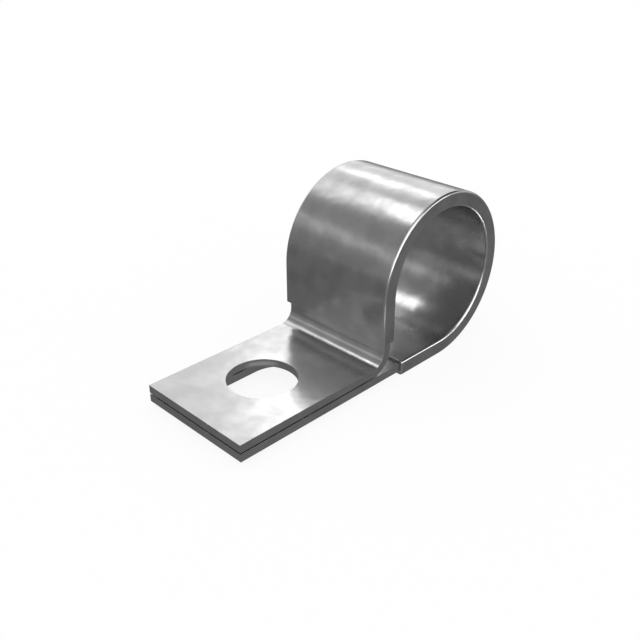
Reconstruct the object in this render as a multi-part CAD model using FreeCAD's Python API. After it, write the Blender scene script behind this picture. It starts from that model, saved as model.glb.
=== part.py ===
import FreeCAD, Part
import os
from math import cos, radians, sin

# P clip: a bent metal strap whose loop runs inside a close-fitting sleeve.
# Millimetres. The origin is on the axis of the loop, half-way across the strap.
# +Y runs along that axis, +Z is up, and the two tabs reach out towards -X.

# Strap
strap_width = 20.0
strap_thickness = 1.25
tab_length = 27.75          # end of the tabs to the outer face of the leg
tab_gap = 0.2               # left between the tabs until the fastener closes them
bend_radius = 2.25          # inside of the bend between upper tab and leg

# Loop
bore_diameter = 22.0        # inside the sleeve, where the cable or pipe lies

# Fastening holes
hole_diameter = 10.5        # upper tab, and width of the slot in the lower tab
hole_from_end = 12.6
slot_length = 17.0          # lower tab, end to end

# Sleeve
sleeve_clearance = 0.02     # all round the strap
sleeve_inner_wall = 0.48    # on the bore side of the strap
sleeve_outer_wall = 0.68    # on the outer side of the strap
sleeve_side_wall = 0.38     # past each edge of the strap
sleeve_edge_radius = 0.4    # the four long edges
sleeve_end_radius = 0.2     # round the outline of both ends
sleeve_foot_setback = 2.45  # lower end, from the inner face of the leg
sleeve_leg_setback = 1.15   # upper end, from the top of the bend

# Strap sizes that follow. The mid path runs half-way through the thickness.
half_thickness = strap_thickness / 2
inner_radius = bore_diameter / 2 + sleeve_inner_wall + sleeve_clearance
mid_radius = inner_radius + half_thickness
tab_end_x = -mid_radius - half_thickness - tab_length
upper_mid_z = -mid_radius + strap_thickness + tab_gap
bend_mid_radius = bend_radius + half_thickness
bend_x = -mid_radius - bend_mid_radius
bend_z = upper_mid_z + bend_mid_radius
hole_x = tab_end_x + hole_from_end
gap_mid_z = -mid_radius + (strap_thickness + tab_gap) / 2
cutter_height = strap_thickness + tab_gap

# Sleeve sizes that follow
sleeve_foot_x = -inner_radius + sleeve_foot_setback
sleeve_leg_z = bend_z + sleeve_leg_setback
channel_half_thickness = half_thickness + sleeve_clearance
channel_width = strap_width + 2 * sleeve_clearance
sleeve_width = channel_width + 2 * sleeve_side_wall
thinnest_wall = min(sleeve_inner_wall, sleeve_outer_wall, sleeve_side_wall)


# A point of the side view, drawn half-way across the strap
def section_point(x, z):
    return FreeCAD.Vector(x, 0, z)


def line(start, end):
    return Part.LineSegment(start, end).toShape()


def arc(centre_x, centre_z, radius, start_degrees, end_degrees):
    middle_degrees = (start_degrees + end_degrees) / 2
    start, middle, end = [section_point(centre_x + radius * cos(radians(degrees)),
                                        centre_z + radius * sin(radians(degrees)))
                          for degrees in (start_degrees, middle_degrees, end_degrees)]
    return Part.Arc(start, middle, end).toShape()


# Foot, three quarter turns, and leg, at an offset outwards from the mid path
def loop_run(offset, foot_x, leg_z):
    radius = mid_radius + offset
    foot = line(section_point(foot_x, -radius), section_point(0, -radius))
    turns = [arc(0, 0, radius, start, start + 90) for start in (-90, 0, 90)]
    leg = line(section_point(-radius, 0), section_point(-radius, leg_z))
    return [foot] + turns + [leg]


# The whole strap at an offset: lower tab, loop, bend and upper tab
def strap_run(offset):
    lower_z = -mid_radius - offset
    upper_z = upper_mid_z + offset
    lower_tab = line(section_point(tab_end_x, lower_z), section_point(sleeve_foot_x, lower_z))
    bend = arc(bend_x, bend_z, bend_mid_radius - offset, 0, -90)
    upper_tab = line(section_point(bend_x, upper_z), section_point(tab_end_x, upper_z))
    return [lower_tab] + loop_run(offset, sleeve_foot_x, bend_z) + [bend, upper_tab]


# A strip between two runs, closed across both ends and padded evenly to each side
def padded_strip(outer, inner, width):
    first_end = line(outer[0].Vertexes[0].Point, inner[0].Vertexes[0].Point)
    last_end = line(outer[-1].Vertexes[-1].Point, inner[-1].Vertexes[-1].Point)
    outline = Part.Wire(Part.sortEdges(outer + inner + [first_end, last_end])[0])
    strip = Part.Face(outline).extrude(FreeCAD.Vector(0, width, 0))
    return strip.translated(FreeCAD.Vector(0, -width / 2, 0))


def round_cutter():
    base = FreeCAD.Vector(hole_x, 0, gap_mid_z)
    return Part.makeCylinder(hole_diameter / 2, cutter_height, base)


# Straight sides along the tab with a half circle at each end
def slot_cutter():
    radius = hole_diameter / 2
    reach = slot_length / 2 - radius
    base_z = gap_mid_z - cutter_height
    left, right = hole_x - reach, hole_x + reach
    near_left, near_right = FreeCAD.Vector(left, -radius, base_z), FreeCAD.Vector(right, -radius, base_z)
    far_left, far_right = FreeCAD.Vector(left, radius, base_z), FreeCAD.Vector(right, radius, base_z)
    left_tip, right_tip = FreeCAD.Vector(left - radius, 0, base_z), FreeCAD.Vector(right + radius, 0, base_z)
    right_end = Part.Arc(near_right, right_tip, far_right).toShape()
    left_end = Part.Arc(far_left, left_tip, near_left).toShape()
    outline = Part.Wire([line(near_left, near_right), right_end, line(far_right, far_left), left_end])
    return Part.Face(outline).extrude(FreeCAD.Vector(0, 0, cutter_height))


def make_strap():
    band = padded_strip(strap_run(half_thickness), strap_run(-half_thickness), strap_width)
    return band.cut([round_cutter(), slot_cutter()])


# The space for the strap inside the sleeve, run past both ends by the strap's thickness
def strap_channel():
    foot_x = sleeve_foot_x - strap_thickness
    leg_z = sleeve_leg_z - strap_thickness
    outer = loop_run(channel_half_thickness, foot_x, leg_z)
    inner = loop_run(-channel_half_thickness, foot_x, leg_z)
    return padded_strip(outer, inner, channel_width)


# True for the edges round either end face of the sleeve
def at_an_end(edge):
    at_foot = all(abs(corner.X - sleeve_foot_x) < 0.001 for corner in edge.Vertexes)
    at_leg = all(abs(corner.Z - sleeve_leg_z) < 0.001 and corner.X < 0 for corner in edge.Vertexes)
    return at_foot or at_leg


def make_sleeve():
    outer = loop_run(channel_half_thickness + sleeve_outer_wall, sleeve_foot_x, sleeve_leg_z)
    inner = loop_run(-channel_half_thickness - sleeve_inner_wall, sleeve_foot_x, sleeve_leg_z)
    body = padded_strip(outer, inner, sleeve_width)
    long_edges = [edge for edge in body.Edges if edge.BoundBox.YLength < 0.001 and not at_an_end(edge)]
    body = body.makeFillet(min(sleeve_edge_radius, 2 * thinnest_wall), long_edges)
    end_edges = [edge for edge in body.Edges if at_an_end(edge)]
    body = body.makeFillet(min(sleeve_end_radius, thinnest_wall / 1.5), end_edges)
    return body.cut(strap_channel())


os.makedirs("parts", exist_ok=True)
for name, solid in {"strap": make_strap(), "sleeve": make_sleeve()}.items():
    solid.exportStep("parts/" + name + ".step")
    print(name, "solids", len(solid.Solids), "valid", solid.isValid(), "volume", round(solid.Volume, 1))
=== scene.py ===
from math import cos, pi, radians, sin, tan

import bmesh
import bpy
from mathutils import Matrix, Vector


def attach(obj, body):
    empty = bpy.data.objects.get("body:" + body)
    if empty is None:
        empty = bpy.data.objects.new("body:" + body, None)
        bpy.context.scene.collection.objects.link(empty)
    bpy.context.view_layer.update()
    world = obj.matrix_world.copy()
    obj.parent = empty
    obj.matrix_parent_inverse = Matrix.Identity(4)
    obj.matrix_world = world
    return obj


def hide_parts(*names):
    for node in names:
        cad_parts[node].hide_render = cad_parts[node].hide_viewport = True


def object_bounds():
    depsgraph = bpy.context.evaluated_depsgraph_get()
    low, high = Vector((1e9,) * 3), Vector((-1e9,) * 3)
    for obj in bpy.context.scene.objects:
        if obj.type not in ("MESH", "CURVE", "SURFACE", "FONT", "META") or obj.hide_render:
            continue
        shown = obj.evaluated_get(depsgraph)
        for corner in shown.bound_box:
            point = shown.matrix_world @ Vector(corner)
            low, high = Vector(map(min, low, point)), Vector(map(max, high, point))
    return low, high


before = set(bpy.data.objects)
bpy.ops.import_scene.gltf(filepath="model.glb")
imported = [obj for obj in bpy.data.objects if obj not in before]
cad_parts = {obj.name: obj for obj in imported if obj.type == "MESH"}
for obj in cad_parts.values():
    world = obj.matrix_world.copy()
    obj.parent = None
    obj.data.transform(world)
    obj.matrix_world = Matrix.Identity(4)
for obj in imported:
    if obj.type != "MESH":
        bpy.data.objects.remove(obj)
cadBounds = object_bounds()
millimetre = 0.001
leastRadius = 0.001     # millimetres, keeps the points of a corner apart


# A station is a place on the strip's mid path: its outward normal, how far the outline
# draws in there, and how much painted highlight its edge gets
def station(x, z, normalX, normalZ, inset=0.0, paintedHighlight=0.0):
    return {"x": x, "z": z, "normalX": normalX, "normalZ": normalZ, "inset": inset, "paintedHighlight": paintedHighlight}


# A quarter round from the end face to the full outline, its painted edge highlight strongest half-way
# along
def roundedEnd(x, z, inward, normal, radius, steps):
    stations = []
    for step in range(steps + 1):
        angle = step / steps * pi / 2
        along = radius * (1 - cos(angle))
        stations.append(station(x + inward[0] * along, z + inward[1] * along, normal[0], normal[1],
                                radius * (1 - sin(angle)), sin(2 * angle)))
    return stations


def arcStations(centreX, centreZ, radius, startDegrees, endDegrees, side, steps):
    stations = []
    for step in range(steps + 1):
        angle = radians(startDegrees + (endDegrees - startDegrees) * step / steps)
        stations.append(station(centreX + radius * cos(angle), centreZ + radius * sin(angle),
                                side * cos(angle), side * sin(angle)))
    return stations


# Rounded rectangle across the strip: y runs across it and n outwards from the mid path.
# The third value, the painted highlight's weight, grows from 0 at both ends of a corner to 1 half-way
# round it
def sectionOutline(section, inset):
    corner = max(section["radius"] - inset, leastRadius)
    across = section["halfWidth"] - inset - corner
    bottom, top = section["low"] + inset + corner, section["high"] - inset - corner
    outline = []
    for turn, (y, n) in enumerate(((across, top), (-across, top), (-across, bottom), (across, bottom))):
        for step in range(section["steps"] + 1):
            share = step / section["steps"]
            angle = (turn + share) * pi / 2
            outline.append((y + corner * cos(angle), n + corner * sin(angle), sin(share * pi) ** 2))
    return outline


# A tube of one ring for each station; followEnds rounds its ends and marks its edges for a painted
# highlight
def addRings(mesh, stations, section, followEnds):
    # weight of the painted edge highlight, which paints the sleeve's edges paler in place of light
    paintedHighlight = mesh.verts.layers.float.get("paintedHighlight") or mesh.verts.layers.float.new("paintedHighlight")
    rings = []
    for place in stations:
        ring = []
        for y, n, edge in sectionOutline(section, place["inset"] if followEnds else 0.0):
            vertex = mesh.verts.new((millimetre * (place["x"] + n * place["normalX"]), millimetre * y,
                                     millimetre * (place["z"] + n * place["normalZ"])))
            vertex[paintedHighlight] = max(edge, place["paintedHighlight"]) if followEnds else 0.0
            ring.append(vertex)
        rings.append(ring)
    for first, second in zip(rings, rings[1:]):
        bridgeRings(mesh, first, second)
    return rings


def bridgeRings(mesh, first, second):
    for index in range(len(first)):
        following = (index + 1) % len(first)
        mesh.faces.new((first[index], first[following], second[following], second[index]))


def linkedObject(name, mesh):
    bmesh.ops.recalc_face_normals(mesh, faces=mesh.faces)
    data = bpy.data.meshes.new(name)
    mesh.to_mesh(data)
    mesh.free()
    piece = bpy.data.objects.new(name, data)
    bpy.context.scene.collection.objects.link(piece)
    return piece


# Applies the piece's modifiers
def bake(piece):
    depsgraph = bpy.context.evaluated_depsgraph_get()
    finished = bpy.data.meshes.new_from_object(piece.evaluated_get(depsgraph))
    piece.modifiers.clear()
    old = piece.data
    piece.data = finished
    bpy.data.meshes.remove(old)


smoothing = {
    "sharpDegrees": 50,      # a sharper turn than this stays an edge
    "flatWeight": 80,        # how far a large face keeps its own shading, 50 being even
}


# Smooth over the shallow turns, with the flat faces kept flat
def smoothSurface(piece):
    sharpest = radians(smoothing["sharpDegrees"])
    mesh = bmesh.new()
    mesh.from_mesh(piece.data)
    for face in mesh.faces:
        face.smooth = True
    for edge in mesh.edges:
        edge.smooth = len(edge.link_faces) == 2 and edge.calc_face_angle(0.0) < sharpest
    mesh.to_mesh(piece.data)
    mesh.free()
    weighted = piece.modifiers.new("flatFaces", "WEIGHTED_NORMAL")
    weighted.keep_sharp = True
    weighted.weight = smoothing["flatWeight"]
    bake(piece)


# lengths in millimetres
strap = {
    "width": 20.0,
    "thickness": 1.25,
    "tabLength": 27.75,      # end of the tabs to the outer face of the leg
    "tabGap": 0.2,
    "bendRadius": 2.25,
    "midRadius": 12.125,     # loop, half-way through the thickness
    "holeDiameter": 10.5,
    "holeFromEnd": 12.6,     # end of the tabs to the centre of the hole and the slot
    "slotLength": 17.0,
    "edgeRadius": 0.01,      # sheared edges, broken by tumbling
    "brokenDegrees": 60,     # a hole's edge that turns more than this is broken too
    "edgeSteps": 3,
    "loopSteps": 108,
    "bendSteps": 18,
    "holeSteps": 48,
    "cutterDepth": 3.0,      # far enough to pass through one tab
    "samePoint": 0.0001,     # points of a cutter nearer than this become one
}
strapHalf = strap["thickness"] / 2
tabEndX = -strap["midRadius"] - strapHalf - strap["tabLength"]
upperTabZ = -strap["midRadius"] + strap["thickness"] + strap["tabGap"]
bendMidRadius = strap["bendRadius"] + strapHalf
bendTopZ = upperTabZ + bendMidRadius


def strapStations():
    mid = strap["midRadius"]
    lowerEnd = roundedEnd(tabEndX, -mid, (1, 0), (0, -1), strap["edgeRadius"], strap["edgeSteps"])
    loop = arcStations(0, 0, mid, -90, 180, 1, strap["loopSteps"])
    bend = arcStations(-mid - bendMidRadius, bendTopZ, bendMidRadius, 0, -90, -1, strap["bendSteps"])
    upperEnd = roundedEnd(tabEndX, upperTabZ, (1, 0), (0, 1), strap["edgeRadius"], strap["edgeSteps"])
    return lowerEnd + loop + bend + upperEnd[::-1]


# Two half circles whose centres lie this reach to each side of the hole's: none for a round hole
def holeCutter(name, lowZ, highZ, reach):
    radius = strap["holeDiameter"] / 2
    centreX = tabEndX + strap["holeFromEnd"]
    outline = []
    for side in (1, -1):
        for step in range(strap["holeSteps"] + 1):
            angle = -pi / 2 * side + pi * step / strap["holeSteps"]
            outline.append((centreX + side * reach + radius * cos(angle), radius * sin(angle)))
    mesh = bmesh.new()
    rings = [[mesh.verts.new((millimetre * x, millimetre * y, millimetre * z)) for x, y in outline]
             for z in (lowZ, highZ)]
    bridgeRings(mesh, *rings)
    for ring in rings:
        mesh.faces.new(ring)
    bmesh.ops.remove_doubles(mesh, verts=mesh.verts, dist=strap["samePoint"] * millimetre)
    return linkedObject(name, mesh)


def cutHole(piece, cutter):
    cut = piece.modifiers.new(cutter.name, "BOOLEAN")
    cut.operation = "DIFFERENCE"
    cut.solver = "EXACT"
    cut.object = cutter
    bake(piece)
    bpy.data.objects.remove(cutter)


def buildStrap():
    section = {"halfWidth": strap["width"] / 2, "low": -strapHalf, "high": strapHalf,
               "radius": strap["edgeRadius"], "steps": strap["edgeSteps"]}
    mesh = bmesh.new()
    rings = addRings(mesh, strapStations(), section, True)
    mesh.faces.new(rings[0])
    mesh.faces.new(rings[-1])
    piece = linkedObject("strapBand", mesh)
    gapZ = -strap["midRadius"] + strapHalf + strap["tabGap"] / 2
    reach = (strap["slotLength"] - strap["holeDiameter"]) / 2
    cutHole(piece, holeCutter("roundHole", gapZ, gapZ + strap["cutterDepth"], 0.0))
    cutHole(piece, holeCutter("slottedHole", gapZ - strap["cutterDepth"], gapZ, reach))
    bevel = piece.modifiers.new("brokenEdges", "BEVEL")
    bevel.limit_method = "ANGLE"
    bevel.angle_limit = radians(strap["brokenDegrees"])
    bevel.width = strap["edgeRadius"] * millimetre
    bevel.segments = strap["edgeSteps"]
    bake(piece)
    smoothSurface(piece)
    return piece


# lengths in millimetres
sleeve = {
    "clearance": 0.02,       # all round the strap
    "innerWall": 0.48,       # on the bore's side of the strap
    "outerWall": 0.68,
    "sideWall": 0.38,
    "edgeRadius": 0.4,
    "endRadius": 0.2,
    "channelRadius": 0.05,
    "footSetback": 2.45,     # inner face of the leg to the foot's end
    "legSetback": 1.15,      # top of the bend to the leg's end
    "edgeSteps": 8,
    "endSteps": 5,
    "loopSteps": 135,
}


def sleeveStations():
    mid = strap["midRadius"]
    footX = -mid + strapHalf + sleeve["footSetback"]
    legZ = bendTopZ + sleeve["legSetback"]
    foot = roundedEnd(footX, -mid, (1, 0), (0, -1), sleeve["endRadius"], sleeve["endSteps"])
    loop = arcStations(0, 0, mid, -90, 180, 1, sleeve["loopSteps"])
    leg = roundedEnd(-mid, legZ, (0, 1), (-1, 0), sleeve["endRadius"], sleeve["endSteps"])
    return foot + loop + leg[::-1]


def buildSleeve():
    channelHalf = strapHalf + sleeve["clearance"]
    channelReach = strap["width"] / 2 + sleeve["clearance"]
    outer = {"halfWidth": channelReach + sleeve["sideWall"], "low": -channelHalf - sleeve["innerWall"],
             "high": channelHalf + sleeve["outerWall"], "radius": sleeve["edgeRadius"],
             "steps": sleeve["edgeSteps"]}
    inner = {"halfWidth": channelReach, "low": -channelHalf, "high": channelHalf,
             "radius": sleeve["channelRadius"], "steps": sleeve["edgeSteps"]}
    mesh = bmesh.new()
    outside = addRings(mesh, sleeveStations(), outer, True)
    inside = addRings(mesh, sleeveStations(), inner, False)
    bridgeRings(mesh, outside[0], inside[0])
    bridgeRings(mesh, outside[-1], inside[-1])
    piece = linkedObject("loopSleeve", mesh)
    smoothSurface(piece)
    return piece


def grey(level):
    return (level, level, level, 1.0)


def newMaterial(name):
    material = bpy.data.materials.new(name)
    material.use_nodes = True
    return material, material.node_tree.nodes, material.node_tree.links


# A value goes on the node's own socket, and anything else is linked to it
def mathNode(nodes, links, operation, first, second, third=None):
    node = nodes.new("ShaderNodeMath")
    node.operation = operation
    for index, value in enumerate((first, second, third)):
        if isinstance(value, (int, float)):
            node.inputs[index].default_value = value
        elif value is not None:
            links.new(value, node.inputs[index])
    return node.outputs[0]


mottle = {
    "grainScale": 2600.0,        # per metre
    "detail": {"Cloud Scale": 1.0, "Patch Scale": 1.8, "Grain": 1.0},
    "noiseRoughness": 0.45,
    "patchEdges": (0.34, 0.66),
    "roughnessSwing": -0.06,     # bright patches are a little smoother
    "grainRoughness": 0.03,
    # painted highlight on the marked edges: a paler grey, with smoother roughness
    "highlightGrey": 0.88,
    "highlightRoughness": 0.15,
}
mottleSockets = {
    "INPUT": {"Base": "Color", "Cloud Scale": "Float", "Patch Scale": "Float", "Contrast": "Float",
              "Roughness": "Float", "PaintedHighlight": "Float"},
    "OUTPUT": {"Color": "Color", "Roughness": "Float", "Height": "Float"},
}


# Cloudy rolled-sheet mottle: wide soft clouds, smaller patches, a very fine grain,
# and a painted highlight on the marked edges: a paler colour there, with smoother roughness
def mottleGroup():
    group = bpy.data.node_groups.new("rolledSteelMottle", "ShaderNodeTree")
    for direction, sockets in mottleSockets.items():
        for name, kind in sockets.items():
            group.interface.new_socket(name, in_out=direction, socket_type="NodeSocket" + kind)
    nodes, links = group.nodes, group.links
    entry = nodes.new("NodeGroupInput")
    place = nodes.new("ShaderNodeTexCoord")
    noise = {}
    for name, detail in mottle["detail"].items():
        texture = nodes.new("ShaderNodeTexNoise")
        texture.inputs["Detail"].default_value = detail
        texture.inputs["Roughness"].default_value = mottle["noiseRoughness"]
        texture.inputs["Scale"].default_value = mottle["grainScale"]
        links.new(place.outputs["Object"], texture.inputs["Vector"])
        if name in entry.outputs:     # clouds and patches take their scale from the material
            links.new(entry.outputs[name], texture.inputs["Scale"])
        noise[name] = texture.outputs["Fac"]
    patches = nodes.new("ShaderNodeMapRange")     # gives the patches a definite edge
    patches.interpolation_type = "SMOOTHSTEP"
    for end, value in zip(("From Min", "From Max"), mottle["patchEdges"]):
        patches.inputs[end].default_value = value
    links.new(noise["Patch Scale"], patches.inputs["Value"])
    mixed = mathNode(nodes, links, "ADD", noise["Cloud Scale"], patches.outputs["Result"])
    centred = mathNode(nodes, links, "MULTIPLY_ADD", mixed, 0.5, -0.5)     # about -0.5 to 0.5
    swing = mathNode(nodes, links, "MULTIPLY_ADD", centred, entry.outputs["Contrast"], 1.0)
    tint = nodes.new("ShaderNodeVectorMath")
    tint.operation = "SCALE"
    links.new(entry.outputs["Base"], tint.inputs[0])
    links.new(swing, tint.inputs["Scale"])
    colour = nodes.new("ShaderNodeMix")
    colour.data_type = "RGBA"
    colour.inputs["B"].default_value = grey(mottle["highlightGrey"])
    links.new(entry.outputs["PaintedHighlight"], colour.inputs["Factor"])
    links.new(tint.outputs["Vector"], colour.inputs["A"])
    patchy = mathNode(nodes, links, "MULTIPLY_ADD", centred, mottle["roughnessSwing"],
                      entry.outputs["Roughness"])
    grained = mathNode(nodes, links, "MULTIPLY_ADD", noise["Grain"], mottle["grainRoughness"], patchy)
    roughness = nodes.new("ShaderNodeMix")
    roughness.inputs["B"].default_value = mottle["highlightRoughness"]
    links.new(entry.outputs["PaintedHighlight"], roughness.inputs["Factor"])
    links.new(grained, roughness.inputs["A"])
    leave = nodes.new("NodeGroupOutput")
    links.new(colour.outputs["Result"], leave.inputs["Color"])
    links.new(roughness.outputs["Result"], leave.inputs["Roughness"])
    links.new(noise["Patch Scale"], leave.inputs["Height"])
    return group


# scales per metre, bump in millimetres
finishes = {
    "strapSteel": {"bump": 0.05, "paintedHighlightEdges": False, "sockets": {
        "Base": (0.60, 0.60, 0.605, 1.0), "Cloud Scale": 130.0, "Patch Scale": 290.0,
        "Contrast": 0.25, "Roughness": 0.22}},
    "sleeveSteel": {"bump": 0.06, "paintedHighlightEdges": True, "sockets": {
        "Base": (0.57, 0.57, 0.575, 1.0), "Cloud Scale": 150.0, "Patch Scale": 320.0,
        "Contrast": 0.32, "Roughness": 0.22}},
}


def steelMaterial(name, group):
    finish = finishes[name]
    material, nodes, links = newMaterial(name)
    shader = nodes["Principled BSDF"]
    shader.inputs["Metallic"].default_value = 1.0
    sheet = nodes.new("ShaderNodeGroup")
    sheet.node_tree = group
    for socketName, value in finish["sockets"].items():
        sheet.inputs[socketName].default_value = value
    # the sleeve's edges are painted paler as a highlight, by the weight marked on its mesh
    if finish["paintedHighlightEdges"]:
        edges = nodes.new("ShaderNodeAttribute")
        edges.attribute_name = "paintedHighlight"
        links.new(edges.outputs["Fac"], sheet.inputs["PaintedHighlight"])
    bump = nodes.new("ShaderNodeBump")
    bump.inputs["Distance"].default_value = finish["bump"] * millimetre
    links.new(sheet.outputs["Color"], shader.inputs["Base Color"])
    links.new(sheet.outputs["Roughness"], shader.inputs["Roughness"])
    links.new(sheet.outputs["Height"], bump.inputs["Height"])
    links.new(bump.outputs["Normal"], shader.inputs["Normal"])
    return material


def dress(piece, material, node):
    piece.data.materials.clear()
    piece.data.materials.append(material)
    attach(piece, "root")
    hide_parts(node)


# lengths in metres, brightness with white as 1
studio = {
    "ambient": 1.0,          # the light from all round
    "backdrop": 1.0,         # what is seen or mirrored behind the object
    "floorSize": 2.4,
    "floorPaint": 0.92,      # grey of the floor under its white glow
    "shadowShare": 0.1,      # how much of the floor's white gives way to real light and shadow
    "bounceDrop": 0.00002,   # the small cards, the ground card and the floor lie just below the object
    "groundDrop": 0.00003,
    "floorDrop": 0.00004,
    "distance": 0.8,         # the wall cards
    "boxDistance": 0.76,     # the soft boxes, just inside the wall cards
    "wallSides": 24,         # flat sides along each curved card
    "roundSides": 72,
}
white = grey(1.0)


# 1 for the rays that see the backdrop straight, mirrored or through glass
def backdropRays(nodes, links):
    path = nodes.new("ShaderNodeLightPath")
    seen = mathNode(nodes, links, "MAXIMUM", path.outputs["Is Camera Ray"], path.outputs["Is Glossy Ray"])
    return mathNode(nodes, links, "MAXIMUM", seen, path.outputs["Is Transmission Ray"])


def buildWorld():
    world = bpy.data.worlds.new("studioWhite")
    world.use_nodes = True
    nodes, links = world.node_tree.nodes, world.node_tree.links
    nodes.clear()
    mix = nodes.new("ShaderNodeMixShader")
    for index, part in enumerate(("ambient", "backdrop"), start=1):
        background = nodes.new("ShaderNodeBackground")
        background.inputs["Color"].default_value = white
        background.inputs["Strength"].default_value = studio[part]
        links.new(background.outputs[0], mix.inputs[index])
    output = nodes.new("ShaderNodeOutputWorld")
    links.new(backdropRays(nodes, links), mix.inputs["Fac"])
    links.new(mix.outputs[0], output.inputs["Surface"])
    bpy.context.scene.world = world


def stageObject(name, corners, faces, material):
    data = bpy.data.meshes.new(name)
    data.from_pydata(corners, [], faces)
    data.materials.append(material)
    piece = bpy.data.objects.new(name, data)
    bpy.context.scene.collection.objects.link(piece)
    return piece


def floorMaterial():
    material, nodes, links = newMaterial("paleFloor")
    nodes.clear()
    paint = nodes.new("ShaderNodeBsdfDiffuse")
    paint.inputs["Color"].default_value = grey(studio["floorPaint"])
    glow = nodes.new("ShaderNodeEmission")
    glow.inputs["Color"].default_value = white
    mix = nodes.new("ShaderNodeMixShader")
    output = nodes.new("ShaderNodeOutputMaterial")
    glowShare = mathNode(nodes, links, "MULTIPLY", backdropRays(nodes, links), 1 - studio["shadowShare"])
    links.new(glowShare, mix.inputs["Fac"])
    links.new(paint.outputs[0], mix.inputs[1])
    links.new(glow.outputs[0], mix.inputs[2])
    links.new(mix.outputs[0], output.inputs["Surface"])
    return material


# A square that lies flat at this height, or slopes down to it towards +X
def squareCorners(x, y, size, height, slopeDegrees=0):
    half = size / 2
    reach, rise = half * cos(radians(slopeDegrees)), size * sin(radians(slopeDegrees))
    return [(x - reach, y - half, height + rise), (x + reach, y - half, height),
            (x + reach, y + half, height), (x - reach, y + half, height + rise)]


def buildFloor(height):
    corners = squareCorners(0, 0, studio["floorSize"], height)
    stageObject("paleFloor", corners, [(0, 1, 2, 3)], floorMaterial())


def cardMaterial(name, brightness):
    material, nodes, links = newMaterial(name)
    nodes.clear()
    glow = nodes.new("ShaderNodeEmission")
    glow.inputs["Color"].default_value = white
    glow.inputs["Strength"].default_value = brightness
    output = nodes.new("ShaderNodeOutputMaterial")
    links.new(glow.outputs[0], output.inputs["Surface"])
    return material


# A card that the metal mirrors and nothing else sees
def mirroredCard(name, corners, faces, brightness):
    card = stageObject(name, corners, faces, cardMaterial(name, brightness))
    card.visible_camera = False
    card.visible_diffuse = False
    card.visible_transmission = False
    card.visible_volume_scatter = False
    card.visible_shadow = False


def roundCard(name, radius, height, brightness):
    turns = [2 * pi * side / studio["roundSides"] for side in range(studio["roundSides"])]
    ring = [(radius * cos(turn), radius * sin(turn), height) for turn in turns]
    mirroredCard(name, ring, [tuple(range(len(ring)))], brightness)


# Upright walls round the object: azimuths and elevations in degrees, as the object sees them
wallCards = {
    "lowerWall": {"azimuths": (105, 215), "elevations": (-3, 20), "brightness": 0.27},
    "middleWall": {"azimuths": (105, 215), "elevations": (20, 31), "brightness": 0.56},
    "upperWall": {"azimuths": (105, 215), "elevations": (31, 64), "brightness": 0.29},
    "backHorizon": {"azimuths": (-20, 85), "elevations": (-4, 5), "brightness": 0.22},
    "backWall": {"azimuths": (50, 71), "elevations": (45.5, 56), "brightness": 0.5},
    "rightWall": {"azimuths": (-75, 26), "elevations": (24, 64), "brightness": 0.08},
    "rightHorizon": {"azimuths": (-40, 26), "elevations": (-4, 24), "brightness": 0.45},
    "crestBand": {"azimuths": (26, 50), "elevations": (11.5, 17), "brightness": 1.3},
}
# Small bright cards on the floor, in metres, which light the sleeve's near edges and the hole's
# wall from below. One slopes, in degrees, so that the sleeve's flat near face sees it edge-on
bounceCards = {
    "rimBounce": {"x": 0.0168, "y": -0.0237, "size": 0.007, "slope": 30, "brightness": 3.7},
    "legBounce": {"x": -0.028, "y": -0.028, "size": 0.008, "slope": 0, "brightness": 0.8},
    "holeBounce": {"x": -0.0275, "y": 0.0005, "size": 0.003, "slope": 0, "brightness": 0.4},
}
groundBrightness = 0.17
ceiling = {"elevation": 66, "brightness": 0.25}     # the elevation of its rim


# Each step has a lower and an upper corner
def wallCard(name, card):
    distance, sides = studio["distance"], studio["wallSides"]
    start, end = card["azimuths"]
    heights = [distance * tan(radians(elevation)) for elevation in card["elevations"]]
    corners = []
    for step in range(sides + 1):
        angle = radians(start + (end - start) * step / sides)
        corners += [(distance * cos(angle), distance * sin(angle), height) for height in heights]
    faces = [(2 * side, 2 * side + 1, 2 * side + 3, 2 * side + 2) for side in range(sides)]
    mirroredCard(name, corners, faces, card["brightness"])


def buildCards(objectBottom):
    distance = studio["distance"]
    ceilingRadius = distance / tan(radians(ceiling["elevation"]))
    roundCard("groundCard", distance, objectBottom - studio["groundDrop"], groundBrightness)
    roundCard("ceilingCard", ceilingRadius, distance, ceiling["brightness"])
    for name, card in wallCards.items():
        wallCard(name, card)
    for name, card in bounceCards.items():
        height = objectBottom - studio["bounceDrop"]
        corners = squareCorners(card["x"], card["y"], card["size"], height, card["slope"])
        mirroredCard(name, corners, [(0, 1, 2, 3)], card["brightness"])


# Where each soft box stands and how wide and high it looks, in degrees
softBoxes = {
    "backBox": {"azimuth": 47.5, "elevation": 34.3, "wide": 9, "high": 6, "brightness": 2.5},
    "sideBox": {"azimuth": 86, "elevation": 58.5, "wide": 16, "high": 7, "brightness": 2.9},
    "rightBox": {"azimuth": -80, "elevation": 10, "wide": 80, "high": 7, "brightness": 2.45},
}


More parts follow.
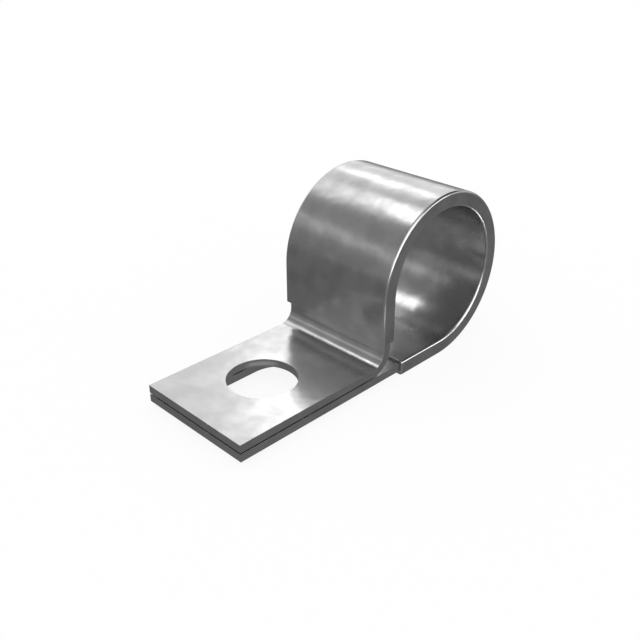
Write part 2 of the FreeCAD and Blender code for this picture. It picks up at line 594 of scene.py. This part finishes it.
def softBox(name, box):
    distance = studio["boxDistance"]
    lamp = bpy.data.lights.new(name, "AREA")
    lamp.shape = "RECTANGLE"
    lamp.size = 2 * distance * tan(radians(box["wide"] / 2))
    lamp.size_y = 2 * distance * tan(radians(box["high"] / 2))
    lamp.energy = box["brightness"] * pi * lamp.size * lamp.size_y     # watts for that brightness
    azimuth, elevation = radians(box["azimuth"]), radians(box["elevation"])
    outwards = Vector((cos(elevation) * cos(azimuth), cos(elevation) * sin(azimuth), sin(elevation)))
    stand = bpy.data.objects.new(name, lamp)
    stand.location = outwards * distance
    stand.rotation_euler = outwards.to_track_quat("Z", "Y").to_euler()
    stand.visible_camera = False
    bpy.context.scene.collection.objects.link(stand)


# metres and degrees, fitted to the photograph's edges. Lens and sensor are in millimetres
view = {
    "place": (-0.093349, -0.077470, 0.054239),
    "azimuth": 44.904,       # of the way it looks, from +Y towards +X
    "elevation": 28.461,     # how far it looks down
    "roll": 0.066,
    "lens": 46.668,
    "sensor": 36.0,
    "nearClip": 0.001,
}


def buildCamera():
    azimuth, elevation, roll = radians(view["azimuth"]), radians(view["elevation"]), radians(view["roll"])
    forward = Vector((cos(elevation) * sin(azimuth), cos(elevation) * cos(azimuth), -sin(elevation)))
    level = Vector((cos(azimuth), -sin(azimuth), 0.0))
    right = level * cos(roll) + forward.cross(level) * sin(roll)
    up = right.cross(forward)
    data = bpy.data.cameras.new("photoView")
    data.lens = view["lens"]
    data.sensor_width = view["sensor"]
    data.clip_start = view["nearClip"]
    camera = bpy.data.objects.new("photoView", data)
    turned = Matrix((right, up, -forward)).transposed().to_4x4()
    camera.matrix_world = Matrix.Translation(view["place"]) @ turned
    bpy.context.scene.collection.objects.link(camera)
    bpy.context.scene.camera = camera


strapBand = buildStrap()
print("strap built")
loopSleeve = buildSleeve()
print("sleeve built")

sheetSteel = mottleGroup()
dress(strapBand, steelMaterial("strapSteel", sheetSteel), "strap")
dress(loopSleeve, steelMaterial("sleeveSteel", sheetSteel), "sleeve")
print("finishes done")

lowest = cadBounds[0][2]
buildWorld()
buildFloor(lowest - studio["floorDrop"])
buildCards(lowest)
for name, box in softBoxes.items():
    softBox(name, box)
buildCamera()
bpy.context.scene.view_settings.view_transform = "Standard"
print("studio done")
